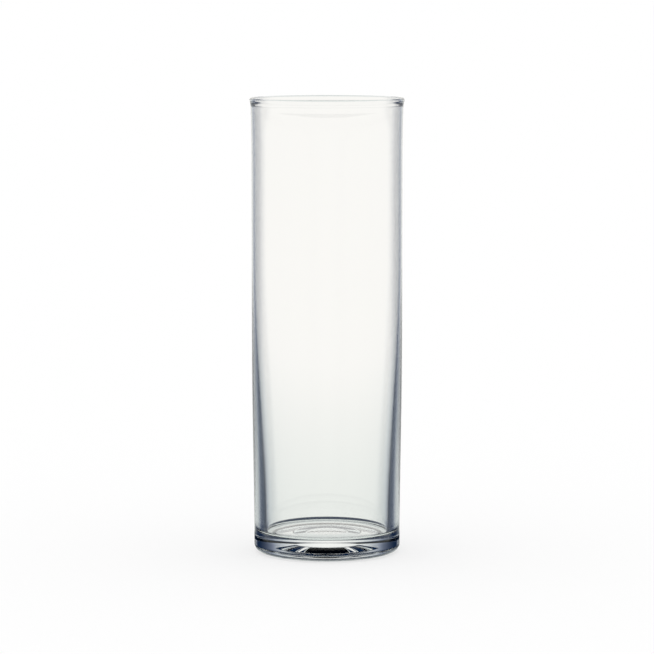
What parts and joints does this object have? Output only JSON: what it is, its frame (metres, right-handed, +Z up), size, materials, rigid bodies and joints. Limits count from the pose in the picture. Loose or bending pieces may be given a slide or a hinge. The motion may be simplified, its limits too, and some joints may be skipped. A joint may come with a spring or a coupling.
{
  "type": "highball glass",
  "caption": "Tall slim straight-sided drinking glass with a fire-polished lip bead, a wall that thickens downwards and a thick base with a hollow underneath.",
  "frame": {"origin": "centre of the resting plane, under the middle of the foot", "axes": "+Z up along the glass's axis, towards the open lip; X and Y are interchangeable, because the glass is a body of revolution"},
  "size_m": [0.058, 0.058, 0.1714],
  "materials": {
    "clear_glass": "clear soda-lime glass, smooth and fire-polished, with a faint blue-green tint in the thick base"
  },
  "bodies": {
    "root": {"tumbler": "clear_glass"}
  },
  "joints": []
}
